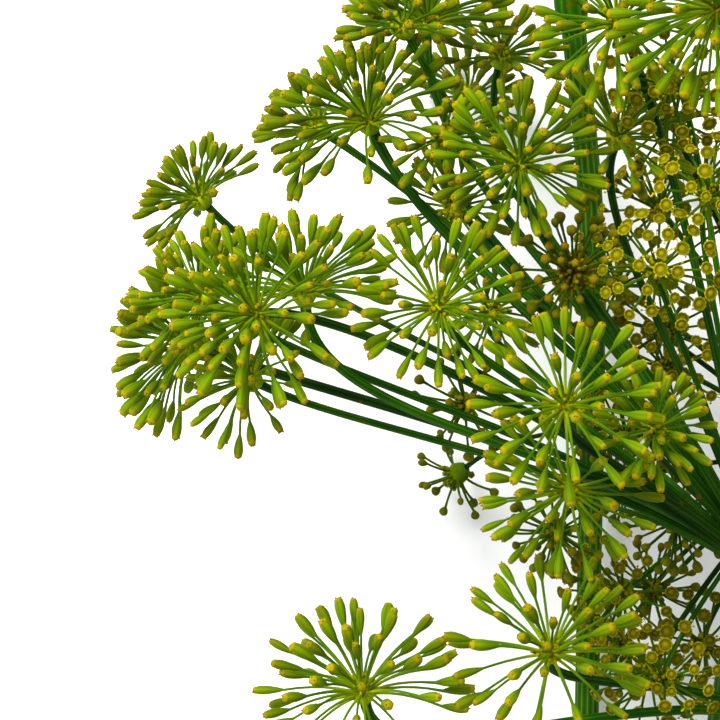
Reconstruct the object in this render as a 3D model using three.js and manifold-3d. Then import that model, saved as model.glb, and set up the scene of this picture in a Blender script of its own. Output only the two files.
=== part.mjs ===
// A bunch of cut, flowering dill that lies on a flat surface.
//
// Millimetres. +Y points along the stems towards the flower heads, +X lies across the bunch, and +Z is up.
// The surface that the bunch lies on is z = 0, and the origin is the middle of the bunch's outline on it.
//
// Each stem carries one compound umbel: a knuckle at the stem's top, a whorl of rays that spring from it,
// and an umbellet on the end of each ray, which is a small spray of stalked florets.

import * as THREE from "three";
import { mergeVertices } from "three/addons/utils/BufferGeometryUtils.js";
import Module from "manifold-3d";

const wasm = await Module();
wasm.setup();

// ---------------------------------------------------------------- driving dimensions

const STEM_SIDES = 8;
const STEM_STEPS = 12;
const STEM_LENGTH = 172; // from the cut ends to the level where the hubs stand
const BUNDLE_PITCH = 4.2; // across, between stems that lie side by side on the surface
const BUNDLE_GAP = 0.5; // between a stem and the two it lies on

const JOINT_SWELL = 0.32; // added to the radius at the ring where a leaf was stripped
const JOINT_LENGTH = 7;

const KNUCKLE_SWELL = 0.4; // added to the stem's radius at its top, where the rays spring from
const KNUCKLE_SET = 0.35; // clear of the stem's end, between two pieces that touch
const RAY_SHARE = 0.047; // a ray's radius, as a share of the reach of the umbellet that it carries
const RAY_SIDES = 5;
const RAY_STEPS = 5;
const RAY_START_PULL = 0.36; // how far a ray keeps its first direction, as a share of its length
const RAY_END_PULL = 0.24; // how far before its end it turns to face as its umbellet does
const RAY_LEAN = 0.45; // how much a ray leaves along the stem and not straight for its umbellet
const RAY_SET = 0.35; // clear of the umbellet's hub

const HUB_RADIUS = 0.85; // of an umbellet, where its pedicels meet
const PEDICEL_RADIUS = 0.19;
const FLORET_SIDES = 3;
const CLEAR = 0.35; // between a floret and anything that isn't its own umbellet
const GOLDEN_ANGLE = Math.PI * (3 - Math.sqrt(5));

// What stands on the pedicels. Length and radius are the head's own, and widest is how far up it that is.
const KINDS = {
  fruiting: { length: 3.3, radius: 0.75, widest: 0.62, spread: 1.45, florets: 11 },
  flowering: { length: 1.5, radius: 0.95, widest: 0.7, spread: 1.3, florets: 10 },
  budding: { length: 1.1, radius: 0.5, widest: 0.55, spread: 1.35, florets: 9 },
};

// ---------------------------------------------------------------- layout

// An umbellet on its ray: where its hub is from the umbel's knuckle (across, along, up) in ray lengths,
// the way it faces, and its reach from hub to floret tip in millimetres.
const umbellet = (kind, reach, end, faces) => ({ kind, reach, end, faces });

// knuckle: where the rays spring from, measured from the bunch's middle line, the level of the hubs and the
// surface. course: points that the stem passes on its way down. slot: its place among the cut ends, as
// a column and a layer.
const UMBELS = {
  a: {
    knuckle: [7.8, -6.3, 38],
    ray: 50,
    radius: 1.8,
    slot: [-0.5, 1],
    joint: 0.5,
    course: [[6.4, -22, 24], [3, -54, 11]],
    umbellets: [
      umbellet("fruiting", 8.6, [-0.77, 0.47, 0.16], [-0.1, 0.95, 0.35]),
      umbellet("fruiting", 8.4, [-0.84, 0.44, 0.34], [-0.55, -0.05, 0.85]),
      umbellet("fruiting", 9.4, [-0.96, 0.39, -0.1], [-0.9, 0.35, 0.1]),
      umbellet("fruiting", 7, [-0.86, 0.33, 0.02], [-0.6, 0.3, 0.5]),
      umbellet("fruiting", 6.6, [-0.96, 0.65, -0.32], [-0.7, 0.7, 0.1]),
      umbellet("fruiting", 9.4, [-0.66, 0.77, -0.08], [-0.4, 0.85, 0.35]),
      umbellet("fruiting", 8.2, [-0.56, 0.95, -0.2], [0, 1, 0.2]),
      umbellet("fruiting", 7, [-0.48, 0.85, -0.64], [0.5, 0.8, -0.2]),
      umbellet("fruiting", 8, [-0.41, 0.69, 0.1], [0, 0.5, 0.85]),
      umbellet("fruiting", 6.4, [-0.51, 0.63, -0.18], [-0.4, 0.3, 0.85]),
      umbellet("fruiting", 7.8, [-0.55, 0.45, 0.28], [0, 0.3, 0.95]),
      umbellet("budding", 5.6, [-0.32, 0.51, 0.08], [0, 0.2, 0.95]),
      umbellet("fruiting", 7.6, [-0.24, 0.74, 0], [0.2, 0.7, 0.7]),
      umbellet("fruiting", 9.6, [-0.1, 0.93, 0.34], [-0.4, 0.1, 0.9]),
      umbellet("fruiting", 8.6, [-0.35, 0.29, 0.36], [0.1, 0.4, 0.9]),
      umbellet("fruiting", 8.2, [-0.33, 0.155, 0.18], [-0.3, -0.4, 0.85]),
      umbellet("budding", 5, [-0.33, 0.07, -0.2], [-0.4, -0.6, 0.5]),
      umbellet("fruiting", 8, [0.26, 0.84, 0.26], [0.3, 0.8, 0.5]),
      umbellet("fruiting", 8, [0.16, 0.44, 0.45], [0.1, 0.3, 0.95]),
      umbellet("fruiting", 8, [0.5, 0.5, 0.3], [0.6, 0.4, 0.7]),
    ],
  },
  b: {
    knuckle: [15, 2, 16],
    ray: 28,
    radius: 1.5,
    slot: [0, 0],
    joint: 0.66,
    course: [[9, -20, 9], [1.5, -56, 3]],
    umbellets: [
      umbellet("flowering", 6, [-0.64, 0.59, 0.25], [-0.4, 0.2, 0.9]),
      umbellet("flowering", 6, [-0.48, 1.1, 0.46], [-0.2, 0.4, 0.9]),
      umbellet("flowering", 5.6, [-0.6, 0.11, 0.11], [-0.6, 0, 0.8]),
      umbellet("flowering", 6, [-0.62, -0.38, 0.21], [-0.6, -0.3, 0.8]),
      umbellet("flowering", 5.8, [-0.55, -0.61, 0.42], [-0.4, -0.5, 0.8]),
      umbellet("flowering", 5.4, [-0.5, 0.33, 0.4], [-0.3, 0, 0.95]),
      umbellet("flowering", 5.8, [-0.5, 0.83, 0.2], [-0.5, 0.5, 0.7]),
      umbellet("budding", 5.2, [-0.46, -0.15, 0.36], [-0.3, -0.2, 0.95]),
      umbellet("flowering", 6.4, [0.05, 1.2, 0.16], [0, 0.9, 0.3]),
      umbellet("flowering", 6.4, [0.52, 1, 0.16], [0.6, 0.7, 0.3]),
      umbellet("flowering", 6, [0.74, 0.5, -0.14], [1, 0.2, -0.2]),
      umbellet("flowering", 5.6, [-0.3, 0.95, -0.42], [-0.2, 0.7, -0.3]),
      umbellet("budding", 4.8, [-1.13, -0.02, -0.375], [-0.6, -0.5, -0.4]),
    ],
  },
  c: {
    knuckle: [12, -20, 32],
    ray: 36,
    radius: 1.6,
    slot: [0.5, 1],
    joint: 0.6,
    course: [[11, -40, 22], [6, -80, 9]],
    umbellets: [
      umbellet("fruiting", 9.4, [-1.05, 0.1, 0.22], [-0.2, 0.85, 0.5]),
      umbellet("fruiting", 9, [-0.62, 0.21, 0.4], [0, 0.5, 0.87]),
      umbellet("fruiting", 8, [-0.8, -0.3, -0.1], [-0.8, -0.3, 0.3]),
      umbellet("fruiting", 7.8, [-0.42, -0.36, 0.2], [-0.3, -0.4, 0.85]),
      umbellet("fruiting", 7.6, [0.3, -0.4, 0.3], [0.3, -0.5, 0.8]),
    ],
  },
  d: {
    knuckle: [36, -18, 34],
    ray: 38,
    radius: 1.7,
    slot: [1, 0],
    joint: 0.55,
    course: [[28, -46, 20], [11, -92, 5]],
    umbellets: [
      umbellet("fruiting", 8.2, [0.79, 0.42, 0.1], [0.9, 0.4, 0.2]),
      umbellet("fruiting", 8, [0.5, 0.8, -0.1], [0.5, 0.8, 0.1]),
      umbellet("fruiting", 8.4, [0.26, 0.58, 0.5], [0.3, 0.4, 0.85]),
      umbellet("fruiting", 7.8, [0.66, 0.08, 0.46], [0.6, 0, 0.8]),
      umbellet("fruiting", 7.6, [0.84, -0.06, -0.25], [1, 0, -0.1]),
      umbellet("fruiting", 7, [0.5, 0.3, -0.74], [0.5, 0.4, -0.5]),
      umbellet("fruiting", 7.6, [0.52, -0.4, 0.16], [0.5, -0.4, 0.7]),
    ],
  },
  e: {
    knuckle: [-7, 45, 18],
    ray: 26,
    radius: 1.1,
    slot: [-1, 0],
    joint: 0.42,
    course: [[-4.4, 25, 10], [-4.4, -8, 4.2], [-5, -60, 1.8]],
    umbellets: [
      umbellet("fruiting", 7.4, [-0.45, 0.6, 0.3], [-0.4, 0.8, 0.4]),
      umbellet("fruiting", 7, [0.2, 0.85, 0], [0.1, 1, 0.1]),
      umbellet("fruiting", 7, [0.75, 0.55, 0.2], [0.7, 0.6, 0.3]),
      umbellet("budding", 5.4, [-0.75, 0.25, -0.5], [-0.8, 0.4, -0.2]),
      umbellet("budding", 5.4, [0.45, 0.3, -0.52], [0.4, 0.6, -0.4]),
    ],
  },
};

// ---------------------------------------------------------------- solids

const LEAF = new THREE.MeshStandardMaterial({ color: 0x2c5a12, roughness: 0.55, metalness: 0 });
const RAY = new THREE.MeshStandardMaterial({ color: 0x3d7316, roughness: 0.55, metalness: 0 });
const HEADS = {
  fruiting: new THREE.MeshStandardMaterial({ color: 0x86a012, roughness: 0.5, metalness: 0 }),
  flowering: new THREE.MeshStandardMaterial({ color: 0xb3a512, roughness: 0.5, metalness: 0 }),
  budding: new THREE.MeshStandardMaterial({ color: 0x8a8c14, roughness: 0.6, metalness: 0 }),
};

const vector = (values) => new THREE.Vector3(...values);

// The solid of a closed geometry, for joining.
function solidOf(geometry) {
  const bare = new THREE.BufferGeometry().setAttribute("position", geometry.getAttribute("position"));
  if (geometry.index) bare.setIndex(geometry.index);
  const merged = mergeVertices(bare, 1e-4);
  const corners = [];
  for (let i = 0; i < merged.index.count; i += 3) {
    const [p, q, r] = [0, 1, 2].map((k) => merged.index.getX(i + k));
    if (p !== q && q !== r && r !== p) corners.push(p, q, r); // a pole's faces have no width
  }
  return new wasm.Manifold(
    new wasm.Mesh({
      numProp: 3,
      vertProperties: merged.attributes.position.array,
      triVerts: new Uint32Array(corners),
    }),
  );
}

// A named mesh of several solids joined into one.
function joined(name, geometries, material) {
  const mesh = wasm.Manifold.union(geometries.map(solidOf)).getMesh();
  const places = new Float32Array(mesh.numVert * 3);
  for (let i = 0; i < mesh.numVert; i++)
    places.set(mesh.vertProperties.subarray(i * mesh.numProp, i * mesh.numProp + 3), i * 3);
  const geometry = new THREE.BufferGeometry();
  geometry.setAttribute("position", new THREE.BufferAttribute(places, 3));
  geometry.setIndex(new THREE.BufferAttribute(mesh.triVerts, 1));
  geometry.computeVertexNormals();
  const made = new THREE.Mesh(geometry, material);
  made.name = name;
  return made;
}

// A tube of a regular section along a curve.
function tube(curve, radius, sides, steps) {
  const outline = Array.from({ length: sides }, (_, i) => {
    const turn = (2 * Math.PI * i) / sides;
    return new THREE.Vector2(radius * Math.cos(turn), radius * Math.sin(turn));
  });
  return new THREE.ExtrudeGeometry(new THREE.Shape(outline), { extrudePath: curve, steps });
}

// A shape turned about +Y, set with its foot at a point and +Y along a direction.
function turned(profile, sides, foot, direction) {
  const points = profile.map(([radius, height]) => new THREE.Vector2(radius, height));
  const place = new THREE.Matrix4().compose(
    foot,
    new THREE.Quaternion().setFromUnitVectors(new THREE.Vector3(0, 1, 0), direction),
    new THREE.Vector3(1, 1, 1),
  );
  return new THREE.LatheGeometry(points, sides).applyMatrix4(place);
}

function ball(radius, centre, around, down) {
  return new THREE.SphereGeometry(radius, around, down).translate(centre.x, centre.y, centre.z);
}

// ---------------------------------------------------------------- courses of stems and rays

// The cut end of a stem in the bundle. A stem in the upper layer lies in the valley between two below it.
function cutEnd({ radius, slot: [column, layer] }) {
  const level = (under) => {
    const across = (column - under.slot[0]) * BUNDLE_PITCH;
    const apart = radius + under.radius + BUNDLE_GAP;
    return under.radius + Math.sqrt(Math.max(0, apart ** 2 - across ** 2));
  };
  const lowest = Object.values(UMBELS).filter((other) => other.slot[1] === 0);
  const height = layer === 0 ? radius : Math.max(...lowest.map(level));
  return new THREE.Vector3(column * BUNDLE_PITCH, -STEM_LENGTH, height);
}

function stemCurve(umbel) {
  const knuckle = vector(umbel.knuckle);
  const points = [cutEnd(umbel), ...umbel.course.map(vector).reverse(), knuckle];
  const whole = new THREE.CatmullRomCurve3(points, false, "centripetal");
  const before = umbel.radius + KNUCKLE_SWELL + KNUCKLE_SET;
  const direction = whole.getTangentAt(1);
  points[points.length - 1] = knuckle.addScaledVector(direction, -before);
  return { curve: new THREE.CatmullRomCurve3(points, false, "centripetal"), direction };
}

function rayCurve(from, stemDirection, head) {
  const chord = head.hub.clone().sub(from);
  const length = chord.length();
  const leaving = chord.normalize().addScaledVector(stemDirection, RAY_LEAN).normalize();
  const end = head.hub.clone().addScaledVector(head.faces, -(HUB_RADIUS + RAY_SET));
  return new THREE.CubicBezierCurve3(
    from,
    from.clone().addScaledVector(leaving, length * RAY_START_PULL),
    end.clone().addScaledVector(head.faces, -length * RAY_END_PULL),
    end,
  );
}

// ---------------------------------------------------------------- room for the florets

// What is in the way, as straight pieces with a radius. owner is the umbellet or other piece that it is of.
const taken = [];

function take(owner, start, end, radius) {
  taken.push({ owner, start, end, radius });
}

function takeCurve(owner, curve, radius, steps) {
  const points = curve.getSpacedPoints(steps);
  points.slice(1).forEach((point, i) => take(owner, points[i], point, radius));
}

// The least distance between two straight pieces.
function distance(p, q) {
  const u = p.end.clone().sub(p.start);
  const v = q.end.clone().sub(q.start);
  const w = p.start.clone().sub(q.start);
  const [uu, uv, vv, uw, vw] = [u.dot(u), u.dot(v), v.dot(v), u.dot(w), v.dot(w)];
  const clamp = (x) => Math.min(1, Math.max(0, x));
  const parallel = uu * vv - uv * uv < 1e-9;
  let s = parallel ? 0 : clamp((uv * vw - vv * uw) / (uu * vv - uv * uv));
  const t = clamp((uv * s + vw) / vv);
  s = clamp((uv * t - uw) / uu);
  return w.addScaledVector(u, s).addScaledVector(v, -t).length();
}

const isClear = (owner, piece, radius) =>
  taken.every((other) => other.owner === owner || distance(piece, other) > radius + other.radius + CLEAR);

// The tips of an umbellet's florets, spread over a dome about the way it faces. One that would go below the
// surface lies along it, and none grows where something is in its way.
function floretTips(name, head) {
  const kind = KINDS[head.kind];
  const sideways = new THREE.Vector3(0, 0, 1).cross(head.faces);
  if (sideways.length() < 0.1) sideways.set(1, 0, 0);
  sideways.addScaledVector(head.faces, -sideways.dot(head.faces)).normalize();
  const upwards = head.faces.clone().cross(sideways);
  const tips = [];
  for (let i = 0; i < kind.florets; i++) {
    const lean = kind.spread * Math.sqrt(i / (kind.florets - 1));
    const turn = i * GOLDEN_ANGLE;
    const direction = head.faces.clone().multiplyScalar(Math.cos(lean));
    direction.addScaledVector(sideways, Math.sin(lean) * Math.cos(turn));
    direction.addScaledVector(upwards, Math.sin(lean) * Math.sin(turn));
    const tip = head.hub.clone().addScaledVector(direction, head.reach);
    tip.z = Math.max(tip.z, 0);
    const neck = tip.clone().lerp(head.hub, kind.length / tip.distanceTo(head.hub));
    const fruit = { start: neck, end: tip };
    const stalk = { start: head.hub.clone().lerp(neck, 0.3), end: neck };
    if (!isClear(name, fruit, kind.radius) || !isClear(name, stalk, PEDICEL_RADIUS)) continue;
    tips.push(tip);
    take(name, neck, tip, kind.radius);
    take(name, head.hub, neck, PEDICEL_RADIUS);
  }
  return tips;
}

function floret(head, tip) {
  const kind = KINDS[head.kind];
  const along = tip.clone().sub(head.hub);
  const length = along.length();
  const neck = length - kind.length;
  const profile = [
    [0, 0],
    [PEDICEL_RADIUS, 0],
    [PEDICEL_RADIUS, neck],
    [kind.radius, neck + kind.length * kind.widest],
    [0, length],
  ];
  return turned(profile, FLORET_SIDES, head.hub, along.normalize());
}

// ---------------------------------------------------------------- the bunch

const bunch = new THREE.Group();
const heads = [];

for (const [key, umbel] of Object.entries(UMBELS)) {
  const { curve, direction } = stemCurve(umbel);
  const knuckle = vector(umbel.knuckle);
  const rays = [];
  umbel.umbellets.forEach((head, i) => {
    head.name = `umbellet_${key}${String(i + 1).padStart(2, "0")}_${head.kind}`;
    head.hub = vector(head.end).multiplyScalar(umbel.ray).add(knuckle);
    head.faces = vector(head.faces).normalize();
    const ray = rayCurve(knuckle, direction, head);
    const thickness = head.reach * RAY_SHARE;
    rays.push(tube(ray, thickness, RAY_SIDES, RAY_STEPS));
    takeCurve(head.name, ray, thickness, RAY_STEPS);
    take(head.name, head.hub, head.hub.clone().addScaledVector(head.faces, 0.01), HUB_RADIUS);
    heads.push(head);
  });
  takeCurve(`stem_${key}`, curve, umbel.radius, STEM_STEPS);

  const slim = umbel.radius * 0.9;
  const swollen = umbel.radius + JOINT_SWELL;
  const ring = [[0, 0], [slim, 0], [swollen, JOINT_LENGTH / 2], [slim, JOINT_LENGTH], [0, JOINT_LENGTH]];
  const joint = turned(ring, STEM_SIDES, curve.getPointAt(umbel.joint), curve.getTangentAt(umbel.joint));
  bunch.add(joined(`stem_${key}`, [tube(curve, umbel.radius, STEM_SIDES, STEM_STEPS), joint], LEAF));
  bunch.add(joined(`ray_whorl_${key}`, [ball(umbel.radius + KNUCKLE_SWELL, knuckle, 8, 6), ...rays], RAY));
}

for (const head of heads) {
  const florets = floretTips(head.name, head).map((tip) => floret(head, tip));
  const hub = new THREE.IcosahedronGeometry(HUB_RADIUS).translate(...head.hub.toArray());
  bunch.add(joined(head.name, [hub, ...florets], HEADS[head.kind]));
}

// The origin is the middle of the outline on the surface.
bunch.updateMatrixWorld(true);
const outline = new THREE.Box3().setFromObject(bunch, true);
const middle = outline.getCenter(new THREE.Vector3());
bunch.position.set(-middle.x, -middle.y, -outline.min.z);

export default bunch;
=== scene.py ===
"""A bunch of cut, flowering dill that lies on its side on a pale floor, seen from above.

The frame gives where everything is: the line of each stem, the place and facing of each umbellet, and the
way each of its florets points. On those, this makes ridged stems and rays, and sprays of stalked young
fruits, flowers and buds, with more florets between the frame's own wherever there is room for them.
"""

import math
from collections import namedtuple

import bpy
import numpy as np
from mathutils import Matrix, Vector


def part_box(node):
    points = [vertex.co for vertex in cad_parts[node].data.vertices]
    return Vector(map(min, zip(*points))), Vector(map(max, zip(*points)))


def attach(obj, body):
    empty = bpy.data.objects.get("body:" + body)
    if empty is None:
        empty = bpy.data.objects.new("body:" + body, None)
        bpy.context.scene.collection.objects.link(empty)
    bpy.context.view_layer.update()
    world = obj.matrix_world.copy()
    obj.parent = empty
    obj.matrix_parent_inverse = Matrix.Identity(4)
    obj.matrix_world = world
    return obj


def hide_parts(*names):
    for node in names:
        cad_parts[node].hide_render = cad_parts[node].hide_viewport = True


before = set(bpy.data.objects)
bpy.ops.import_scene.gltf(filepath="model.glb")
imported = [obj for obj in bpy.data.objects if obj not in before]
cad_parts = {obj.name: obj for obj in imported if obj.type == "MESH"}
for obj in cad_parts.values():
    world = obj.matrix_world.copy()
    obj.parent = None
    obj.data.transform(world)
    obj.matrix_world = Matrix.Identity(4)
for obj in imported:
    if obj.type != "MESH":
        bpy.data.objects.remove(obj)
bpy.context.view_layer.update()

MM = 0.001
ACROSS = np.array([1.0, 0.0, 0.0])
UP = np.array([0.0, 0.0, 1.0])
GOLDEN_ANGLE = math.pi * (3 - math.sqrt(5))
chance = np.random.default_rng(11)

# How the frame's rays run from the knuckle at a stem's top to the umbellets.
KNUCKLE_SWELL = 0.4 * MM  # over the stem's radius
KNUCKLE_SET = 0.35 * MM  # clear of the stem's end
RAY_START_PULL = 0.36  # how far a ray keeps its first direction, as a share of its length
RAY_END_PULL = 0.24  # how far before its end it turns to face as its umbellet does
RAY_LEAN = 0.45  # how much it leaves along the stem and not straight for its umbellet
RAY_SHARE = 0.047  # its radius, as a share of its umbellet's reach
HUB_DEPTH = 1.2 * MM  # from the middle of a hub back to the end of its ray

# ------------------------------------------------------------------ camera

LENS = 180
SENSOR = 36
FIELD_WIDTH = 60 * MM  # across the view, at the height of the aim
AIM_HEIGHT = 45 * MM
AIM_LEFT, AIM_BACK = 6.4 * MM, 5.0 * MM  # from the middle of a head near the middle of the view

middle_head = [(low + high) / 2 for low, high in zip(*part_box("umbellet_a11_fruiting"))]
aim = Vector((middle_head[0] - AIM_LEFT, middle_head[1] - AIM_BACK, AIM_HEIGHT))
lens = bpy.data.cameras.new("camera")
lens.lens = LENS
lens.sensor_width = SENSOR
lens.clip_start = 10 * MM
camera = bpy.data.objects.new("camera", lens)
camera.location = aim + Vector((0, 0, FIELD_WIDTH * LENS / SENSOR))
bpy.context.scene.collection.objects.link(camera)
bpy.context.scene.camera = camera

# ------------------------------------------------------------------ reading the frame

FRAME_STEM_SIDES = 8
FRAME_RAY_SIDES = 5
FRAME_FLORET_SIDES = 3
SAME_PLACE = 1e-6  # corners this near to each other are one
EVEN_SLANTS, EVEN_SIDES = 0.02, 0.03  # how much the edges round a floret's tip may differ
OCTAGON_AREA = 2 * math.sqrt(2)  # of one with a radius of 1 to its corners
STEM_LEVELS = 150  # at which a stem is cut to find its middle and its girth
STEM_SMOOTHING = 6 * MM


def unit(v):
    """A way, or each of some ways, with a length of 1."""
    return v / np.linalg.norm(v, axis=-1, keepdims=True)


def read(node):
    """A node's corners, each once, and its triangles as numbers of corners."""
    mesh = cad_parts[node].data
    places = np.empty(len(mesh.vertices) * 3)
    mesh.vertices.foreach_get("co", places)
    mesh.calc_loop_triangles()
    triangles = np.empty(len(mesh.loop_triangles) * 3, int)
    mesh.loop_triangles.foreach_get("vertices", triangles)
    places = places.reshape(-1, 3)
    rounded = np.round(places / SAME_PLACE)
    _, first, same = np.unique(rounded, axis=0, return_index=True, return_inverse=True)
    return places[first], same.ravel()[triangles].reshape(-1, 3)


def read_florets(node):
    """The tips of an umbellet's florets and the ways they point. A tip is a corner that stands even over
    the three others that it is joined to."""
    places, triangles = read(node)
    linked = [set() for _ in places]
    for triangle in triangles:
        for corner in triangle:
            linked[corner].update(set(triangle) - {corner})
    tips, ways = [], []
    for corner, near in enumerate(linked):
        if len(near) != FRAME_FLORET_SIDES:
            continue
        ring = places[list(near)]
        slants = np.linalg.norm(ring - places[corner], axis=1)
        sides = np.linalg.norm(ring - np.roll(ring, 1, axis=0), axis=1)
        if np.ptp(slants) < EVEN_SLANTS * slants.mean() and np.ptp(sides) < EVEN_SIDES * sides.mean():
            tips.append(places[corner])
            ways.append(unit(places[corner] - ring.mean(0)))
    return np.array(tips), np.array(ways)


def meeting_point(points, ways):
    """The point nearest to all the lines through the points."""
    across = np.eye(3) - ways[:, :, None] * ways[:, None, :]
    return np.linalg.solve(across.sum(0), (across @ points[:, :, None]).sum(0)).ravel()


def section(places, triangles, level):
    """The middle and the area of a node's cut at a level along Y."""
    across = places[triangles] - [0, level, 0]
    ends = []
    for one, other in ((0, 1), (1, 2), (2, 0)):
        a, b = across[:, one], across[:, other]
        crosses = (a[:, 1] < 0) != (b[:, 1] < 0)
        share = np.where(crosses, a[:, 1] / np.where(crosses, a[:, 1] - b[:, 1], 1), 0)
        rising = a[:, 1] < 0
        ends.append((crosses, rising, (a + (b - a) * share[:, None])[:, [0, 2]]))
    cut = ends[0][0] | ends[1][0]
    start, stop = np.zeros((cut.sum(), 2)), np.zeros((cut.sum(), 2))
    for crosses, rising, point in ends:
        start = np.where((crosses & rising)[cut, None], point[cut], start)
        stop = np.where((crosses & ~rising)[cut, None], point[cut], stop)
    twice = start[:, 0] * stop[:, 1] - start[:, 1] * stop[:, 0]
    x, z = ((start + stop) * twice[:, None]).sum(0) / (3 * twice.sum())
    return np.array([x, level, z]), abs(twice.sum()) / 2


def end_ring(places, along):
    """The middle of a stem's end, which is the ring of corners furthest along."""
    return places[np.argsort(places @ along)[-FRAME_STEM_SIDES:]].mean(0)


def read_stem(node):
    """A stem's middle line from the cut end to the knuckle, and its radius along it."""
    places, triangles = read(node)
    low = end_ring(places, np.array([0, -1, 0]))
    high = end_ring(places, np.array([0, 1, 0.4]))  # the top end slants up
    first, last = low[1] + 0.4 * MM, high[1] - 3 * MM  # clear of the ends
    cuts = [section(places, triangles, level) for level in np.linspace(first, last, STEM_LEVELS)]
    middles, areas = zip(*cuts)
    line = np.array([low, *middles, high])
    lean = np.abs(unit(np.gradient(line, axis=0))[:, 1])
    areas = np.array([areas[0], *areas, areas[-1]])
    return line, np.sqrt(areas * lean / OCTAGON_AREA)


def smoothed(line, reach):
    """A line of points with its corners rounded over a reach to each side."""
    way = np.concatenate([[0], np.cumsum(np.linalg.norm(np.diff(line, axis=0), axis=1))])
    weights = np.exp(-(((way[:, None] - way[None, :]) / reach) ** 2))
    edge = np.minimum(way, way[-1] - way)
    weights = np.where(np.abs(way[:, None] - way[None, :]) <= edge[:, None] + 1e-9, weights, 0)
    return weights @ line / weights.sum(1, keepdims=True)


def curve(points, steps):
    """Points along a Bezier curve."""
    t = np.linspace(0, 1, steps)[:, None]
    if len(points) == 3:
        p, q, r = points
        return (1 - t) ** 2 * p + 2 * t * (1 - t) * q + t**2 * r
    p, q, r, s = points
    return (1 - t) ** 3 * p + 3 * t * (1 - t) ** 2 * q + 3 * t**2 * (1 - t) * r + t**3 * s


def head_of(stem, node, kind, hub, faces, end, tips, reach):
    """An umbellet, and the line of the ray that carries it from the stem's knuckle to its hub."""
    chord = hub - stem["knuckle"]
    length = np.linalg.norm(chord)
    leaving = unit(unit(chord) + RAY_LEAN * stem["way"])
    ray = [stem["knuckle"], stem["knuckle"] + leaving * length * RAY_START_PULL]
    ray += [end - faces * length * RAY_END_PULL, end]
    head = {"node": node, "kind": kind, "hub": hub, "faces": faces, "tips": tips, "reach": reach}
    return head | {"ray": ray, "ray_radius": RAY_SHARE * reach}


stems, umbellets = {}, {}
for node in sorted(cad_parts):
    if node.startswith("stem_"):
        line, radii = read_stem(node)
        line = smoothed(line, STEM_SMOOTHING)
        way = unit(line[-1] - line[-4])
        radius = float(np.median(radii))
        knuckle = line[-1] + way * (radius + KNUCKLE_SWELL + KNUCKLE_SET)
        stem = {"line": line, "radii": radii, "radius": radius, "way": way, "knuckle": knuckle}
        stems[node[-1]] = stem

for node in sorted(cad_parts):
    if node.startswith("umbellet_"):
        tips, ways = read_florets(node)
        key, kind = node.split("_")[1:]
        stem = stems[key[0]]
        hub = meeting_point(tips, ways)
        whorl, _ = read("ray_whorl_" + key[0])
        nearest = np.argsort(np.linalg.norm(whorl - hub, axis=1))[:FRAME_RAY_SIDES]
        end = whorl[nearest].mean(0)
        faces = unit(hub - end)
        reach = float(np.median(np.linalg.norm(tips - hub, axis=1)))
        umbellets[key] = head_of(stem, node, kind, hub, faces, end, tips, reach)

# Smaller heads that fill the whorls between the frame's own: the stem that carries each one, its kind, its
# reach, its hub's place from the knuckle and the way it faces. Places and reaches are in millimetres.
MORE_HEADS = [
    ("a", "fruiting", 7.4, (-46.8, 23.5, 6), (-0.7, 0.5, 0.4)),
    ("a", "fruiting", 6.0, (-30.0, 46.6, -2), (-0.4, 0.7, 0.5)),
    ("a", "fruiting", 6.4, (-21.3, 45.2, -16), (0.2, 0.8, 0.4)),
    ("a", "fruiting", 7.0, (-37.3, 38.4, -8), (-0.8, 0.5, 0.3)),
    ("a", "fruiting", 5.8, (-26.8, 37.2, -2), (0.0, 0.5, 0.85)),
    ("a", "fruiting", 7.8, (-12.6, 46.0, 10), (-0.3, 0.3, 0.9)),
    ("a", "fruiting", 5.4, (-22.6, 22.5, -6), (0.2, 0.3, 0.9)),
    ("a", "budding", 5.2, (-24.6, 14.6, -7), (-0.3, -0.2, 0.9)),
    ("a", "flowering", 5.6, (-9.5, 25.5, 12), (-0.1, 0.2, 0.97)),
    ("a", "flowering", 6.0, (-8.0, 41.5, 6), (-0.2, -0.3, 0.9)),
    ("a", "fruiting", 5.6, (-10.0, 12.6, 13), (0.1, 0.3, 0.95)),
    ("a", "flowering", 5.4, (-5.5, 31.5, 14), (0.1, 0.2, 0.97)),
    ("b", "flowering", 5.4, (-13.5, 12.5, 3), (-0.2, 0.2, 0.95)),
    ("b", "budding", 5.0, (-16.0, -1.0, -4), (-0.2, 0.0, 0.95)),
    ("b", "budding", 5.0, (-14.0, -11.0, -3), (-0.3, -0.3, 0.9)),
    ("b", "budding", 5.0, (-16.5, -16.5, -7), (-0.3, -0.4, 0.85)),
    ("b", "flowering", 5.4, (-10.0, -15.5, 4), (-0.1, -0.3, 0.95)),
    ("b", "flowering", 5.6, (-15.2, -17.1, 22), (-0.1, -0.2, 0.97)),
    ("b", "flowering", 5.4, (-8.0, 22.0, 5), (-0.1, 0.3, 0.95)),
    ("b", "flowering", 5.6, (8.0, 24.0, 6), (0.2, 0.4, 0.9)),
    ("b", "budding", 5.0, (9.0, 12.0, 4), (0.4, 0.1, 0.9)),
]
for stem_key, kind, reach, offset, faces in MORE_HEADS:
    stem = stems[stem_key]
    key = stem_key + str(sum(name[0] == stem_key for name in umbellets) + 1).zfill(2)
    hub, faces = stem["knuckle"] + np.array(offset) * MM, unit(np.array(faces))
    end, no_tips = hub - faces * HUB_DEPTH, np.zeros((0, 3))
    umbellets[key] = head_of(stem, None, kind, hub, faces, end, no_tips, reach * MM)

# ------------------------------------------------------------------ room between the pieces

HUB_ROOM = 0.9 * MM  # the radius that other umbellets' florets keep clear of
ROOM_STEPS = 14  # in a ray's line
PARALLEL = 1e-18  # two straight pieces with a spread under this are taken as parallel


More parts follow.
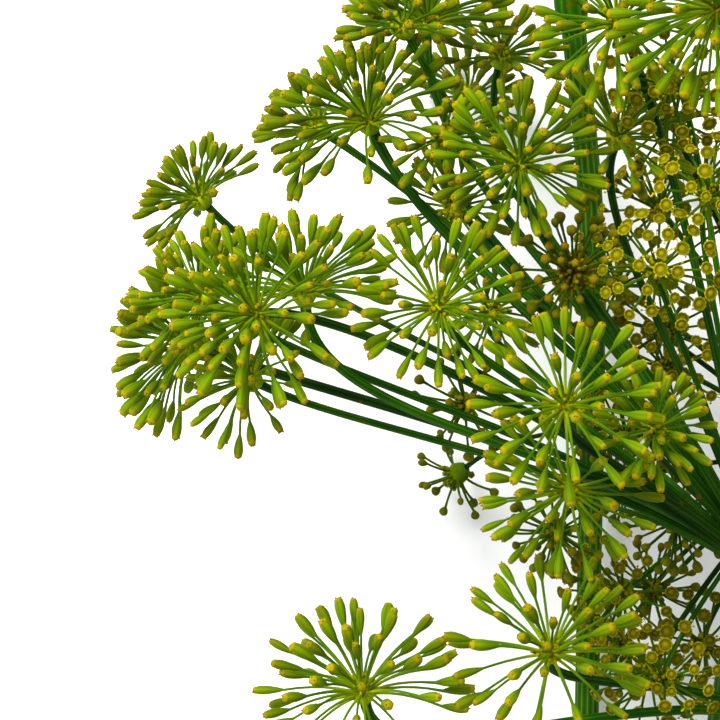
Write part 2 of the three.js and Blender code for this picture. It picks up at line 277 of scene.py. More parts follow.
class Room:
    """What is already in the way, as straight pieces with a radius and an owner."""

    def __init__(self):
        self.starts, self.ends, self.radii, self.owners = [], [], [], []
        self.packed = None

    def take(self, owner, line, radius):
        """Put a line's straight pieces in the way."""
        for start, end in zip(line[:-1], line[1:]):
            self.starts.append(start)
            self.ends.append(end)
            self.radii.append(radius)
            self.owners.append(owner)
        self.packed = None

    def clear(self, owner, start, end, radius):
        """Whether a straight piece is clear of everything that isn't its owner's."""
        if self.packed is None:
            self.packed = [np.array(x) for x in (self.starts, self.ends, self.radii, self.owners)]
        starts, ends, radii, owners = self.packed
        u, v, w = end - start, ends - starts, start - starts
        uu, uv, vv = u @ u, v @ u, (v * v).sum(1) + PARALLEL
        uw, vw = w @ u, (v * w).sum(1)
        spread = uu * vv - uv * uv
        crossing = np.clip((uv * vw - vv * uw) / np.maximum(spread, PARALLEL), 0, 1)
        s = np.where(spread > PARALLEL, crossing, 0)
        t = np.clip((uv * s + vw) / vv, 0, 1)
        s = np.clip((uv * t - uw) / uu, 0, 1)
        apart = np.linalg.norm(w + s[:, None] * u - t[:, None] * v, axis=1)
        return bool(np.all((owners == owner) | (apart > radius + radii)))


room = Room()
for key, stem in stems.items():
    room.take("stem_" + key, stem["line"][::4], stem["radius"])
    room.take("stem_" + key, np.array([stem["line"][-1], stem["knuckle"]]), stem["radius"])
for key, head in umbellets.items():
    ray = curve(head["ray"], ROOM_STEPS)[2:]  # its first part lies among the other rays
    room.take("ray_" + key, ray, head["ray_radius"])
    room.take(key, np.array([head["hub"], head["hub"] + head["faces"] * 0.1 * MM]), HUB_ROOM)

# ------------------------------------------------------------------ meshes

LOOKS = 16  # a floret takes one of these, and each has its own column in the surface's map
COLUMN_GAP, END_GAP = 0.08, 0.02  # at the sides of a column, and at its two ends
STEEP = 0.9  # the rise from which a form's first side is found from ACROSS and not from UP


class Form:
    """Rings of corners joined into one mesh. Each corner keeps how far along its form it is (tone), which
    of the looks it has (look) and how far up a ridge it is (ridge)."""

    def __init__(self):
        self.places, self.tone, self.look, self.ridge = [], [], [], []
        self.faces, self.map = [], []
        self.count = 0

    def sweep(self, path, radii, sides, tone, look, ridges=0, relief=0.0, column=None):
        """A closed form about a path, with a radius at each of its points. Its ridges stand out by relief,
        and column is the part of the map's width that it has to itself."""
        path, radii = np.asarray(path, float), np.asarray(radii, float)
        rings = len(path)
        forward = unit(np.gradient(path, axis=0))
        for before, after in zip(forward, forward[1:]):
            after *= 1 if before @ after > 0 else -1  # where a form turns back into itself, its rings don't
        turns = np.arange(sides) / sides
        ridge = np.cos(2 * math.pi * ridges * turns) if ridges else np.zeros(sides)
        side = np.cross(forward[0], UP if abs(forward[0][2]) < STEEP else ACROSS)
        places = []
        for way, point, radius, rise in zip(forward, path, radii, np.broadcast_to(relief, rings)):
            side = unit(side - way * (side @ way))
            out = np.cos(2 * math.pi * turns)[:, None] * side * radius
            out = out + np.sin(2 * math.pi * turns)[:, None] * np.cross(way, side) * radius
            places.append(point + (1 + rise * ridge)[:, None] * out)
        self.places += [*places, path[:1], path[-1:]]
        tone = np.broadcast_to(np.asarray(tone, float), rings)
        tones = np.concatenate([np.repeat(tone, sides), tone[:1], tone[-1:]])
        self.tone.append(tones)
        self.look.append(np.full(len(tones), float(look)))
        self.ridge += [np.tile(ridge, rings), [0, 0]]
        faces, around = tube(rings, sides)
        self.faces += [[corner + self.count for corner in face] for face in faces]
        self.count += len(tones)
        left, right = column or (look / LOOKS, (look + 1) / LOOKS)
        corners = np.array([corner for face in faces for corner in face])
        across = left + (right - left) * (COLUMN_GAP + (1 - 2 * COLUMN_GAP) * around)
        along = END_GAP + (1 - 2 * END_GAP) * tones[corners]
        self.map.append(np.stack([across, along], 1))

    def made(self, name, skin, node):
        """Make the piece, in the place of the frame's node if it stands for one."""
        mesh = bpy.data.meshes.new(name)
        mesh.from_pydata(np.concatenate(self.places).tolist(), [], self.faces)
        for title, values in (("tone", self.tone), ("look", self.look), ("ridge", self.ridge)):
            kept = mesh.attributes.new(title, "FLOAT", "POINT")
            kept.data.foreach_set("value", np.concatenate(values).astype(np.float32))
        chart = mesh.uv_layers.new(name="OFBake")
        chart.uv.foreach_set("vector", np.concatenate(self.map).astype(np.float32).ravel())
        mesh.polygons.foreach_set("use_smooth", [True] * len(mesh.polygons))
        mesh.materials.append(skin.material)
        piece = bpy.data.objects.new(name, mesh)
        bpy.context.scene.collection.objects.link(piece)
        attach(piece, "root")
        if node:
            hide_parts(node)


made_tubes = {}


def tube(rings, sides):
    """The faces of a stack of rings with a fan at each end, and how far round each face's corners are."""
    if (rings, sides) not in made_tubes:
        faces, around = [], []
        first, top = rings * sides, (rings - 1) * sides
        for turn in range(sides):
            after = (turn + 1) % sides
            start, stop = turn / sides, (turn + 1) / sides
            for low in range(0, top, sides):
                faces.append((low + turn, low + after, low + after + sides, low + turn + sides))
                around += [start, stop, stop, start]
            faces += [(first, after, turn), (first + 1, top + turn, top + after)]
            around += [(start + stop) / 2, stop, start, (start + stop) / 2, start, stop]
        made_tubes[rings, sides] = faces, np.array(around)
    return made_tubes[rings, sides]


# ------------------------------------------------------------------ skins


class Value:
    """A socket in a skin's maths. Working with it adds the Math nodes."""

    def __init__(self, skin, socket):
        self.skin, self.socket = skin, socket

    def worked(self, operation, first, second):
        """What a Math node makes of two values."""
        return self.skin.node("ShaderNodeMath", {"operation": operation}, {0: first, 1: second})

    def __add__(self, other):
        return self.worked("ADD", self, other)

    def __radd__(self, other):
        return self.worked("ADD", other, self)

    def __sub__(self, other):
        return self.worked("SUBTRACT", self, other)

    def __rsub__(self, other):
        return self.worked("SUBTRACT", other, self)

    def __mul__(self, other):
        return self.worked("MULTIPLY", self, other)

    def __rmul__(self, other):
        return self.worked("MULTIPLY", other, self)

    def __pow__(self, other):
        return self.worked("POWER", self, other)

    def between(self, low, high):
        """0 at low to 1 at high, and flat beyond them."""
        smooth = {"interpolation_type": "SMOOTHSTEP"}
        return self.skin.node("ShaderNodeMapRange", smooth, {0: self, 1: low, 2: high})


SOFT_DEPTH = 0.6 * MM  # how far light goes into the tissue
SOFT_TINT = (0.6, 1.0, 0.15)  # the shares of that depth that red, green and blue light go


class Skin:
    """A material and its nodes."""

    def __init__(self, name, slot, roughness, specular, soft=0.0):
        self.slot = slot
        self.material = bpy.data.materials.new(name)
        self.material.use_nodes = True
        self.tree = self.material.node_tree
        self.shader = self.tree.nodes["Principled BSDF"]
        self.set("Roughness", roughness)
        self.set("Specular IOR Level", specular)
        self.set("Subsurface Weight", soft)
        self.set("Subsurface Radius", SOFT_TINT)
        self.set("Subsurface Scale", SOFT_DEPTH)

    def node(self, kind, settings=None, sockets=None, out=0):
        """A node with its settings, then its sockets' values or links, and one of its outputs."""
        made = self.tree.nodes.new(kind)
        for key, value in (settings or {}).items():
            if key == "stops":
                for i, (place, colour) in enumerate(value):
                    stop = made.color_ramp.elements[i] if i < 2 else made.color_ramp.elements.new(place)
                    stop.position = place
                    stop.color = (*colour, 1)
            else:
                setattr(made, key, value)
        for key, value in (sockets or {}).items():
            self.put(made.inputs[key], value)
        return Value(self, made.outputs[out])

    def put(self, socket, value):
        """Link a value to a socket, or set the socket to a number or a colour."""
        if isinstance(value, Value):
            self.tree.links.new(value.socket, socket)
        else:
            socket.default_value = value

    def set(self, socket, value):
        self.put(self.shader.inputs[socket], value)

    def kept(self, title):
        """What the mesh keeps at each corner under that title."""
        return self.node("ShaderNodeAttribute", {"attribute_name": title}, out="Fac")

    def noise(self, scale, detail):
        """Soft patches of about 0.2 to 0.8 that are smaller for a larger scale."""
        place = self.node("ShaderNodeTexCoord", out="Object")
        sockets = {"Vector": place, "Scale": scale, "Detail": detail}
        return self.node("ShaderNodeTexNoise", {}, sockets, out="Fac")

    def any_number(self, value, seed):
        """A number from 0 to 1 that is one for each value, and that the seed changes."""
        pair = self.node("ShaderNodeCombineXYZ", {}, {0: value, 1: seed})
        flat = {"noise_dimensions": "2D"}
        return self.node("ShaderNodeTexWhiteNoise", flat, {"Vector": pair}, out="Value")

    def ramp(self, value, stops):
        """The colour at a value, from the colours given at stops."""
        return self.node("ShaderNodeValToRGB", {"stops": stops}, {0: value})

    def times(self, colour, share):
        """A colour made darker or brighter by a share."""
        return self.node("ShaderNodeVectorMath", {"operation": "SCALE"}, {0: colour, "Scale": share})

    def mix(self, share, first, second):
        """Two colours mixed by a share, from the first to the second."""
        first, second = ((*c, 1) if isinstance(c, tuple) else c for c in (first, second))
        sockets = {0: share, 6: first, 7: second}  # a node that mixes colours has its two at 6 and 7
        return self.node("ShaderNodeMix", {"data_type": "RGBA"}, sockets, out=2)


# The olive that the florets of lower umbellets are painted towards, as shade from the heads above them.
SHADE_OLIVE = (0.1, 0.092, 0.0003)
# The dark green that the grooves between a floret's ridges are painted with, as shade.
GROOVE_SHADE_GREEN = (0.02, 0.05, 0.0004)
SPECK_BROWN = (0.1, 0.045, 0.002)


def floret_skin(name, slot, stops, groove_shade_from, groove_shade):
    """Tissue whose colour runs up the stalk and the head by tone. The higher looks are paler and greener than
    the lower ones: lower umbellets take lower looks, painted darker and more olive as shade from the heads
    above them, and each look also differs at random. From a tone on, the grooves between the ridges are
    painted darker, as shade."""
    skin = Skin(name, slot, 0.6, 0.02, soft=0.08)
    tone, look = skin.kept("tone"), skin.kept("look")
    colour = skin.ramp(tone, stops)
    high = look.between(0, LOOKS - 1)
    # Lower looks mix towards olive: painted shade from the heads above, by a share that differs at random per
    # look.
    shade_dulling = (1.0 - high) * (0.4 + 0.6 * skin.any_number(look, 2.0)) * tone.between(0.2, 0.7)
    colour = skin.mix(0.6 * shade_dulling, colour, SHADE_OLIVE)
    # Higher looks are brighter, so the lower ones carry painted shade; a random tone per look comes on top.
    colour = skin.times(colour, 0.62 + 0.36 * high + 0.3 * skin.any_number(look, 1.0))
    # From a tone on, the grooves between the ridges are painted darker, as shade, up to the tip.
    line = (0.2 - skin.kept("ridge")).between(0.0, 1.2) * tone.between(groove_shade_from, groove_shade_from + 0.06)
    colour = skin.mix(line * (1.0 - tone.between(0.88, 0.93)) * groove_shade, colour, GROOVE_SHADE_GREEN)
    skin.set("Base Color", colour)
    return skin


fruit_skin = floret_skin(
    "young_fruit",
    "fruiting",
    [
        # The stalk bases and the hub, at tone 0 to 0.08: their own pale green, brightened further as painted
        # light against the shade among the stalks.
        (0.0, (0.42, 0.42, 0.004)),
        (0.08, (0.26, 0.32, 0.001)),
        (0.2, (0.1, 0.18, 0.0002)),
        (0.4, (0.042, 0.105, 0.0001)),
        (0.6, (0.078, 0.148, 0.0001)),
        (0.8, (0.108, 0.172, 0.0001)),
        (0.885, (0.125, 0.165, 0.0001)),
        (0.9, (0.19, 0.178, 0.0002)),
        (0.955, (0.22, 0.185, 0.0002)),
        (0.975, (0.15, 0.085, 0.0006)),
    ],
    groove_shade_from=0.5,
    groove_shade=0.35,
)
flower_skin = floret_skin(
    "open_flower",
    "flowering",
    [
        (0.0, (0.24, 0.27, 0.0006)),
        (0.12, (0.06, 0.115, 0.0001)),
        (0.3, (0.035, 0.08, 0.0001)),
        (0.5, (0.035, 0.08, 0.0001)),
        (0.62, (0.07, 0.1, 0.0001)),
        (0.7, (0.2, 0.165, 0.0002)),
        (0.78, (0.27, 0.22, 0.0003)),
        (0.83, (0.08, 0.075, 0.0001)),
        (0.87, (0.13, 0.11, 0.0001)),
        (0.965, (0.2, 0.17, 0.0002)),
        (0.99, (0.36, 0.27, 0.0005)),
    ],
    groove_shade_from=0.68,
    groove_shade=0.5,
)
bud_skin = floret_skin(
    "bud",
    "budding",
    [
        (0.0, (0.13, 0.15, 0.0002)),
        (0.15, (0.04, 0.085, 0.0001)),
        (0.5, (0.035, 0.075, 0.0001)),
        (0.75, (0.085, 0.105, 0.0001)),
        (1.0, (0.165, 0.13, 0.0002)),
    ],
    groove_shade_from=0.5,
    groove_shade=0.3,
)
withered_skin = floret_skin(
    "withered_bud",
    "budding",
    [
        (0.0, (0.24, 0.12, 0.0012)),
        (0.1, (0.15, 0.1, 0.0006)),
        (0.3, (0.02, 0.055, 0.0001)),
        (0.6, (0.04, 0.07, 0.0001)),
        (0.8, (0.085, 0.08, 0.0001)),
        (0.93, (0.125, 0.1, 0.0002)),
        (1.0, (0.17, 0.1, 0.0005)),
    ],
    groove_shade_from=0.5,
    groove_shade=0.3,
)


def stalk_skin(name, slot, dark, light, line):
    """A ridged green stalk, darker in the grooves as painted shade and lighter on the ridges, in random
    patches, with a pale line along each ridge and a few brown specks. It gives the skin and its colour."""
    skin = Skin(name, slot, 0.5, 0.03, soft=0.05)
    ridge, look = skin.kept("ridge"), skin.kept("look")
    patch = skin.noise(220.0, 3.0)
    # Darker in the grooves and lighter on the ridges: painted shade, mixed with patches that differ at
    # random.
    colour = skin.mix((0.22 * ridge + patch).between(0.25, 0.95), dark, light)
    colour = skin.mix(ridge.between(0.45, 1.0) * patch.between(0.3, 0.7) * 0.6, colour, line)
    colour = skin.times(colour, 0.6 + 1.2 * skin.any_number(look, 4.0) ** 2.0)
    colour = skin.mix(skin.noise(900.0, 1.0).between(0.74, 0.78) * 0.7, colour, SPECK_BROWN)
    skin.set("Base Color", colour)
    skin.set("Roughness", 0.5 + 0.2 * patch)
    return skin, colour


# The greens of the rays and the stem are dark: their own deep green, darkened further as painted shade from
# the heads above them.
ray_skin, _ = stalk_skin(
    "ray", "ray", dark=(0.004, 0.03, 0.0001), light=(0.022, 0.078, 0.0001), line=(0.042, 0.11, 0.0002)
)
stem_skin, stem_colour = stalk_skin(
    "stem", "stem", dark=(0.006, 0.03, 0.0005), light=(0.024, 0.07, 0.002), line=(0.08, 0.14, 0.014)
)

# A stem's tone runs over its cut face first, from the pale pith to the green rim, and then up the stem.
CUT_TONE = 0.03
PITH_BROWN = (0.14, 0.1, 0.03)
COLLAR_PALE = (0.09, 0.105, 0.02)
cut_share = stem_skin.kept("tone").between(0.0, CUT_TONE)
cut_colour = stem_skin.ramp(
    cut_share,
    [
        (0.0, (0.3, 0.36, 0.16)),
        (0.45, (0.26, 0.34, 0.12)),
        (0.62, (0.1, 0.17, 0.03)),
        (0.85, (0.03, 0.09, 0.002)),
    ],
)
dried = stem_skin.noise(2600.0, 2.0).between(0.5, 0.75) * 0.6
cut_colour = stem_skin.mix(dried, cut_colour, PITH_BROWN)
past_cut = stem_skin.kept("tone").between(0.8 * CUT_TONE, CUT_TONE)
stem_colour = stem_skin.mix(past_cut, cut_colour, stem_colour)
on_collar = stem_skin.kept("look").between(0.5, 1.0)
stem_skin.set("Base Color", stem_skin.mix(0.75 * on_collar, stem_colour, COLLAR_PALE))

# ------------------------------------------------------------------ florets

PEDICEL_RADIUS = 0.11 * MM
STALK_STEPS = 7
STALK_LEAN = 0.35  # how much a stalk leaves the hub along the way that its umbellet faces
STALK_START = 0.45 * MM  # from the middle of the hub
FRUIT_LENGTH, FRUIT_RADIUS = 2.45 * MM, 0.42 * MM
FLOWER_LENGTH, FLOWER_RADIUS = 0.95 * MM, 0.55 * MM
BUD_LENGTH, BUD_RADIUS = 1.0 * MM, 0.42 * MM


def stalk_of(hub, way, faces, length):
    """A stalk's line. It leaves the hub nearer to the way the umbellet faces, and bends out to its head."""
    leaving = unit(way + STALK_LEAN * faces)
    start, end = hub + leaving * STALK_START, hub + way * length
    return curve([start, hub + leaving * length * 0.5, end], STALK_STEPS)


def stalk_and_head(form, stalk, way, length, radius, shares, girth, tones, look, ribbing):
    """One form for a floret: its stalk, then its head, with a girth and a tone at shares of its length. Its
    ribbing gives its sides, its ridges and how far they stand out."""
    line = np.concatenate([stalk[:-1], stalk[-1] + np.outer(shares, way) * length])
    stalk_radii = np.linspace(1.25, 0.95, STALK_STEPS - 1) * PEDICEL_RADIUS
    radii = np.concatenate([stalk_radii, radius * np.array(girth)])
    tone = np.concatenate([np.linspace(0, tones[0], STALK_STEPS)[:-1], tones])
    form.sweep(line, radii, tone=tone, look=look, **ribbing)


def cross_ways(way):
    """Two ways square to a way and to each other."""
    side = unit(np.cross(way, UP + 0.1))
    return side, np.cross(way, side)


def round_about(turn, side, up):
    """The way at a turn about the way that side and up are square to."""
    return math.cos(turn) * side + math.sin(turn) * up


def young_fruit(form, hub, way, faces, reach, size, look):
    """A club-shaped young fruit with a yellow cap, and on it the calyx's teeth and the ends of the styles."""
    length, radius = FRUIT_LENGTH * size, FRUIT_RADIUS * size * chance.uniform(0.82, 1.14)
    stalk = stalk_of(hub, way, faces, reach - length)
    head = unit(way + 0.4 * (unit(stalk[-1] - stalk[-3]) - way) + chance.uniform(-0.1, 0.1, 3))
    shares = np.array([0, 0.1, 0.22, 0.36, 0.5, 0.64, 0.76, 0.84, 0.87, 0.89, 0.93, 0.97, 1.0])
    girth = [0.28, 0.42, 0.62, 0.8, 0.93, 1.0, 0.98, 0.88, 0.79, 0.84, 0.8, 0.6, 0.15]
    tones = 0.47 + 0.49 * shares
    ribbing = {"sides": 10, "ridges": 5, "relief": 0.05}
    stalk_and_head(form, stalk, head, length, radius, shares, girth, tones, look, ribbing)
    side, up = cross_ways(head)
    first, teeth = chance.uniform(0, 2 * math.pi), chance.integers(2, 5)
    for tooth in range(teeth):
        turn = first + 2 * math.pi * (tooth + chance.uniform(-0.3, 0.3)) / teeth
        out = round_about(turn, side, up)
        rim = chance.uniform(0.2, 0.65)
        foot = stalk[-1] + head * length * (0.98 - 0.06 * rim) + out * radius * rim
        point = foot + unit(0.9 * rim * out + 0.8 * head) * chance.uniform(0.1, 0.24) * MM
        form.sweep([foot, point], [0.1 * MM, 0.03 * MM], sides=4, tone=[0.97, 1.0], look=look)


def open_flower(form, hub, way, faces, reach, size, look):
    """A flower seen as a disc: five notched petals that curl in over it, round the ovary's swollen top."""
    length, radius = FLOWER_LENGTH * size, FLOWER_RADIUS * size * chance.uniform(0.85, 1.15)
    stalk = stalk_of(hub, way, faces, reach - length)
    head = unit(way + chance.uniform(0.7, 1.6) * faces)
    shares = [0, 0.2, 0.42, 0.6, 0.72, 0.84, 0.95, 1.0, 0.94, 0.84, 0.86, 0.97, 1.0]
    girth = [0.2, 0.34, 0.46, 0.5, 0.78, 1.02, 1.06, 0.92, 0.76, 0.64, 0.5, 0.34, 0.12]
    tones = [0.5, 0.54, 0.58, 0.62, 0.7, 0.74, 0.77, 0.8, 0.83, 0.85, 0.88, 0.93, 0.96]
    relief = [0] * (STALK_STEPS - 1) + [0, 0, 0, 0.01, 0.03, 0.05, 0.06, 0.06, 0.04, 0.01, 0, 0, 0]
    ribbing = {"sides": 20, "ridges": 10, "relief": relief}
    stalk_and_head(form, stalk, head, length, radius, shares, girth, tones, look, ribbing)
    side, up = cross_ways(head)
    disc = stalk[-1] + head * length * 0.9
    for _ in range(max(0, chance.integers(-4, 4))):
        out = round_about(chance.uniform(0, 2 * math.pi), side, up)
        foot = disc + 0.6 * radius * out
        end = foot + unit(0.9 * out + 0.7 * head) * chance.uniform(0.4, 0.8) * MM
        form.sweep([foot, end], [0.03 * MM] * 2, sides=4, tone=0.975, look=look)
        anther = end + np.outer([-0.1, -0.05, 0.05, 0.1], out) * MM
        form.sweep(anther, np.array([0.04, 0.1, 0.1, 0.04]) * MM, sides=6, tone=1.0, look=look)


def bud(form, hub, way, faces, reach, size, look):
    """A round bud, lobed where its petals meet."""
    length, radius = BUD_LENGTH * size, BUD_RADIUS * size * chance.uniform(0.75, 1.15)
    stalk = stalk_of(hub, way, faces, reach - length)
    shares = np.array([0, 0.12, 0.3, 0.5, 0.68, 0.84, 0.95, 1.0])
    girth = [0.3, 0.5, 0.82, 1.0, 0.98, 0.78, 0.42, 0.1]
    ribbing = {"sides": 10, "ridges": 5, "relief": 0.07}
    stalk_and_head(form, stalk, way, length, radius, shares, girth, 0.5 + 0.5 * shares, look, ribbing)


# An umbellet's florets: their maker and their skin, the umbellet's usual reach, how many there are at that
# reach, how far round the hub they spread, and the length and radius of the room that each head needs.
Kind = namedtuple("Kind", "maker skin reach florets spread length radius")
KINDS = {
    "fruiting": Kind(young_fruit, fruit_skin, 8 * MM, 52, 1.7, FRUIT_LENGTH, FRUIT_RADIUS),
    "flowering": Kind(open_flower, flower_skin, 6 * MM, 28, 1.6, 1.05 * MM, 0.54 * MM),
    "budding": Kind(bud, bud_skin, 5.4 * MM, 34, 1.75, 1.1 * MM, 0.46 * MM),
}
WITHERED = {"a12"}
# Umbellets with fewer florets than usual, as a share of them.
OPEN = {"a11": 0.8, "a15": 0.66, "a16": 0.66, "a28": 0.6, "b13": 0.35, "c01": 0.8, "c02": 0.75}
LEAST_HEIGHT = 0.5 * MM  # of a floret's tip over the floor
SHADE_FADE_HEIGHT = 55 * MM  # the height that sets how much painted shade an umbellet's florets carry: the lower its hub, the darker and more olive they are painted, as shade from the heads above
BARE_HUB = 1.2 * MM  # florets of two umbellets may come nearer than their radii only this near to a hub
DOME_MIDDLE = 0.78  # how far a floret in the middle reaches, as a share of the outermost ones
DOME_EDGE = 1.1  # the lean from the middle at which they reach furthest
NEAREST = 0.6  # the least angle between two florets, as a share of that of even ones
LEAN_PLAY, TURN_PLAY = 0.06, 0.12  # how much a floret's place on the dome is left to chance


def dome(lean):
    """How far a floret reaches, as a share of the outermost ones: an umbellet is flatter than a ball."""
    return DOME_MIDDLE + (1 - DOME_MIDDLE) * min(1, lean / DOME_EDGE)


def grow(key, way, reach):
    """Add a floret to an umbellet, and take the room of its stalk and of its head."""
    hub, kind = umbellets[key]["hub"], KINDS[umbellets[key]["kind"]]
    neck = hub + way * (reach - kind.length)
    florets[key].append((way, reach))
    room.take(key, np.array([hub + way * BARE_HUB, neck]), PEDICEL_RADIUS)
    room.take(key, np.array([neck, hub + way * reach]), kind.radius)


florets = {key: [] for key in umbellets}
for key, head in umbellets.items():
    for tip in head["tips"]:
        spoke = np.array([tip[0], tip[1], max(tip[2], LEAST_HEIGHT)]) - head["hub"]
        reach = np.linalg.norm(spoke)
        way = spoke / reach
        grow(key, way, reach * dome(math.acos(min(1, way @ head["faces"]))))

for key, head in umbellets.items():
    kind, hub = KINDS[head["kind"]], head["hub"]
    number = int(kind.florets * (head["reach"] / kind.reach) ** 1.2 * OPEN.get(key, 1))
    side, up = cross_ways(head["faces"])
    cap = 1 - math.cos(kind.spread)
    nearest = math.cos(NEAREST * math.sqrt(2 * math.pi * cap / number))
    for i in range(number * 2):
        lean = math.acos(1 - cap * ((i % number) + 0.5) / number) + chance.uniform(-LEAN_PLAY, LEAN_PLAY)
        second_round = 0.5 if i >= number else 0
        turn = i * GOLDEN_ANGLE + second_round + chance.uniform(-TURN_PLAY, TURN_PLAY)
        way = math.cos(lean) * head["faces"] + math.sin(lean) * round_about(turn, side, up)
        if any(way @ other > nearest for other, _ in florets[key]):
            continue
        reach = head["reach"] * chance.uniform(0.88, 1.02) * dome(lean)
        tip, neck = hub + way * reach, hub + way * (reach - kind.length)
        if tip[2] < LEAST_HEIGHT:
            continue
        if not room.clear(key, neck, tip, kind.radius):
            continue
        if not room.clear(key, hub + way * BARE_HUB, neck, PEDICEL_RADIUS):
            continue
        grow(key, way, reach)

# ------------------------------------------------------------------ umbellets

HUB_BACK, HUB_FRONT = 0.75 * MM, 0.85 * MM  # from the middle of a hub to its ends

# Florets that stayed small, close about a hub: how many, how much they point the way that the umbellet faces,
# and the most that one reaches.
Stubs = namedtuple("Stubs", "number forwards most")
USUAL_STUBS = Stubs(34, 1.0, 2.1 * MM)
WITHERED_STUBS = Stubs(90, 0.5, 2.7 * MM)
STUB_LEAST = 0.95 * MM


def add_hub(form, head):
    """The ribbed cushion that an umbellet's stalks leave from."""
    low, high = head["hub"] - head["faces"] * HUB_BACK, head["hub"] + head["faces"] * HUB_FRONT
    line = low + np.outer([0, 0.2, 0.4, 0.6, 0.8, 0.94, 1], high - low)
    girth = np.array([0.5, 0.72, 0.9, 0.98, 0.9, 0.6, 0.2]) * MM
    tones = [0.2, 0.17, 0.14, 0.11, 0.08, 0.04, 0.02]
    # The hub takes the top look, which carries no painted shade.
    form.sweep(line, girth, sides=22, tone=tones, look=LOOKS - 1, ridges=11, relief=0.09)


def add_stubs(form, head, stubs):
    """The florets that stayed small, each on a short stalk."""
    for _ in range(stubs.number):
        way = unit(head["faces"] * stubs.forwards + chance.uniform(-0.9, 0.9, 3))
        tall = chance.uniform(STUB_LEAST, stubs.most)
        line = head["hub"] + np.outer([0.25, 0.5, 0.75, 0.93, 1.0], way) * tall
        girth = np.array([0.1, 0.1, 0.2, 0.19, 0.07]) * MM * chance.uniform(0.7, 1.2)
        # The stubs take the top look, which carries no painted shade.
        form.sweep(line, girth, sides=7, tone=[0.0, 0.02, 0.04, 0.94, 0.96], look=LOOKS - 1)


for key, head in umbellets.items():
    kind, withered = KINDS[head["kind"]], key in WITHERED
    form = Form()
    size = (head["reach"] / kind.reach) ** 0.4
    # The lower its hub, the lower the looks that its florets take: painted shade from the heads above it.
    shade_look = min(1, 0.15 + head["hub"][2] / SHADE_FADE_HEIGHT * 0.75) * (LOOKS - 2)
    for way, reach in florets[key]:
        look = int(np.clip(round(shade_look + chance.uniform(-4, 4)), 0, LOOKS - 2))
        kind.maker(form, head["hub"], way, head["faces"], reach, size * chance.uniform(0.88, 1.08), look)
    add_hub(form, head)
    add_stubs(form, head, WITHERED_STUBS if withered else USUAL_STUBS)
    form.made("spray_" + key, withered_skin if withered else kind.skin, head["node"])

# ------------------------------------------------------------------ rays and stems

RAY_STEPS = 44
RAY_INTO_HUB = 0.5 * MM  # a ray's end, from the middle of the hub
KNUCKLE_DEPTH = 1.6 * MM  # how far the knuckle reaches down over its stem
STEM_SIDES, STEM_RIDGES, STEM_RELIEF = 48, 12, 0.045
WANDER, WANDER_STEP = 0.025, 8  # how much a stem's girth wanders, and over how many levels
JOINT_CLEAR = 20  # levels at each end of a stem that its joint isn't among
COLLAR_REACH = 0.55 * MM


def make_rays(key, stem):
    """The rays of a stem's umbel and the knuckle that they leave from."""
    form = Form()
    carried = [name for name in umbellets if name[0] == key]
    columns = len(carried) + 2
    for i, name in enumerate(carried):
        head = umbellets[name]
        line = curve(head["ray"], RAY_STEPS)
        line = np.concatenate([line, [head["hub"] - head["faces"] * RAY_INTO_HUB]])
        share = np.linspace(0, 1, len(line))
        radii = head["ray_radius"] * (0.9 + 0.25 * np.abs(2 * share - 1) ** 6)
        column = (i / columns, (i + 1) / columns)
        form.sweep(line, radii, sides=18, tone=share, look=i, ridges=6, relief=0.07, column=column)
    swell = stem["radius"] + KNUCKLE_SWELL
    low, high = stem["line"][-1] - stem["way"] * KNUCKLE_DEPTH, stem["knuckle"] + stem["way"] * swell
    shares = np.array([0, 0.12, 0.24, 0.38, 0.52, 0.66, 0.8, 0.91, 0.97, 1.0])
    girth = swell * np.array([0.7, 0.8, 0.87, 0.95, 1.0, 0.99, 0.86, 0.6, 0.35, 0.1])
    column = ((len(carried) + 0.5) / columns, (len(carried) + 1.5) / columns)
    line = low + np.outer(shares, high - low)
    form.sweep(line, girth, sides=28, tone=shares, look=0, ridges=11, relief=0.05, column=column)
    form.made("rays_" + key, ray_skin, "ray_whorl_" + key)


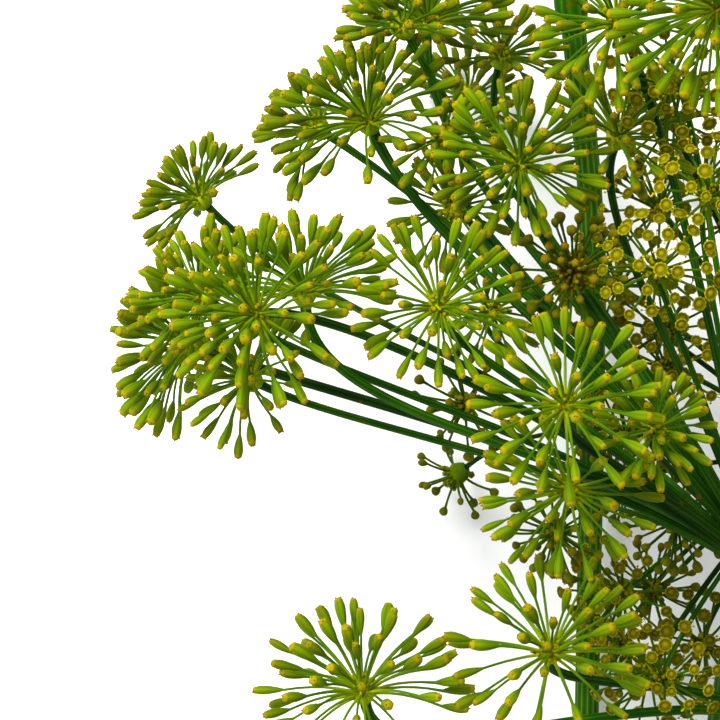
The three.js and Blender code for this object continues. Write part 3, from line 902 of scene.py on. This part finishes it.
def make_stem(key, stem):
    """A ribbed stem with its cut end, and the collar at the joint where a leaf was stripped."""
    form = Form()
    line, foot = stem["line"], unit(stem["line"][1] - stem["line"][0])
    knots = np.arange(0, len(line) + WANDER_STEP, WANDER_STEP)
    wander = np.interp(np.arange(len(line)), knots, chance.uniform(-1, 1, len(knots)))
    radii = stem["radii"] * (1 + WANDER * wander)
    cut = line[0] - np.outer([0.1, 0.095, 0.08, 0.06, 0.035], foot) * MM
    cut_radii = radii[0] * np.array([0.04, 0.4, 0.62, 0.82, 0.94])
    cut_tones = CUT_TONE * np.array([0, 0.35, 0.6, 0.8, 0.97])
    tones = np.concatenate([cut_tones, np.linspace(CUT_TONE, 1, len(line))])
    relief = np.concatenate([[0, 0, 0.01, 0.02, 0.035], np.full(len(line), STEM_RELIEF)])
    path, radii = np.concatenate([cut, line]), np.concatenate([cut_radii, radii])
    ribbing = {"sides": STEM_SIDES, "ridges": STEM_RIDGES}
    form.sweep(path, radii, tone=tones, look=0, relief=relief, column=(0, 0.9), **ribbing)
    joint = JOINT_CLEAR + int(np.argmax(radii[JOINT_CLEAR:-JOINT_CLEAR]))
    along = unit(path[joint + 1] - path[joint - 1])
    collar = path[joint] + np.outer(np.linspace(-COLLAR_REACH, COLLAR_REACH, 7), along)
    girth = radii[joint] * np.array([0.97, 1.03, 1.1, 1.13, 1.08, 1.02, 0.96])
    tones = np.linspace(0.1, 0.9, 7)
    form.sweep(collar, girth, tone=tones, look=1, relief=0.03, column=(0.92, 0.99), **ribbing)
    form.made("stem_" + key + "_stalk", stem_skin, "stem_" + key)


for key, stem in stems.items():
    make_rays(key, stem)
    make_stem(key, stem)

# ------------------------------------------------------------------ floor and light

FLOOR_REACH = 3.0
FLOOR_DROP = 0.05 * MM  # so that what touches the surface stays clear of it
SKY_STRENGTH = 0.85

floor_skin = Skin("floor", None, 0.8, 0.1)
floor_skin.set("Base Color", (0.9, 0.9, 0.9, 1))
ground = bpy.data.meshes.new("floor")
corners = [(x * FLOOR_REACH, y * FLOOR_REACH, 0) for x, y in ((-1, -1), (1, -1), (1, 1), (-1, 1))]
ground.from_pydata(corners, [], [(0, 1, 2, 3)])
ground.materials.append(floor_skin.material)
floor = bpy.data.objects.new("floor", ground)
floor.location.z = -FLOOR_DROP
bpy.context.scene.collection.objects.link(floor)

surroundings = bpy.data.worlds.new("studio")
surroundings.use_nodes = True
sky = surroundings.node_tree.nodes["Background"].inputs
sky["Color"].default_value = (1, 1, 1, 1)
sky["Strength"].default_value = SKY_STRENGTH
bpy.context.scene.world = surroundings


def soft_box(name, place, width, power):
    """A square light that faces the middle of the view."""
    lamp = bpy.data.lights.new(name, "AREA")
    lamp.size = width
    lamp.energy = power
    made = bpy.data.objects.new(name, lamp)
    made.location = place
    made.rotation_euler = (aim - Vector(place)).to_track_quat("-Z", "Y").to_euler()
    bpy.context.scene.collection.objects.link(made)


soft_box("key_light", place=(-0.55, 0.75, 1.1), width=0.7, power=40)
bpy.context.scene.view_settings.view_transform = "Standard"
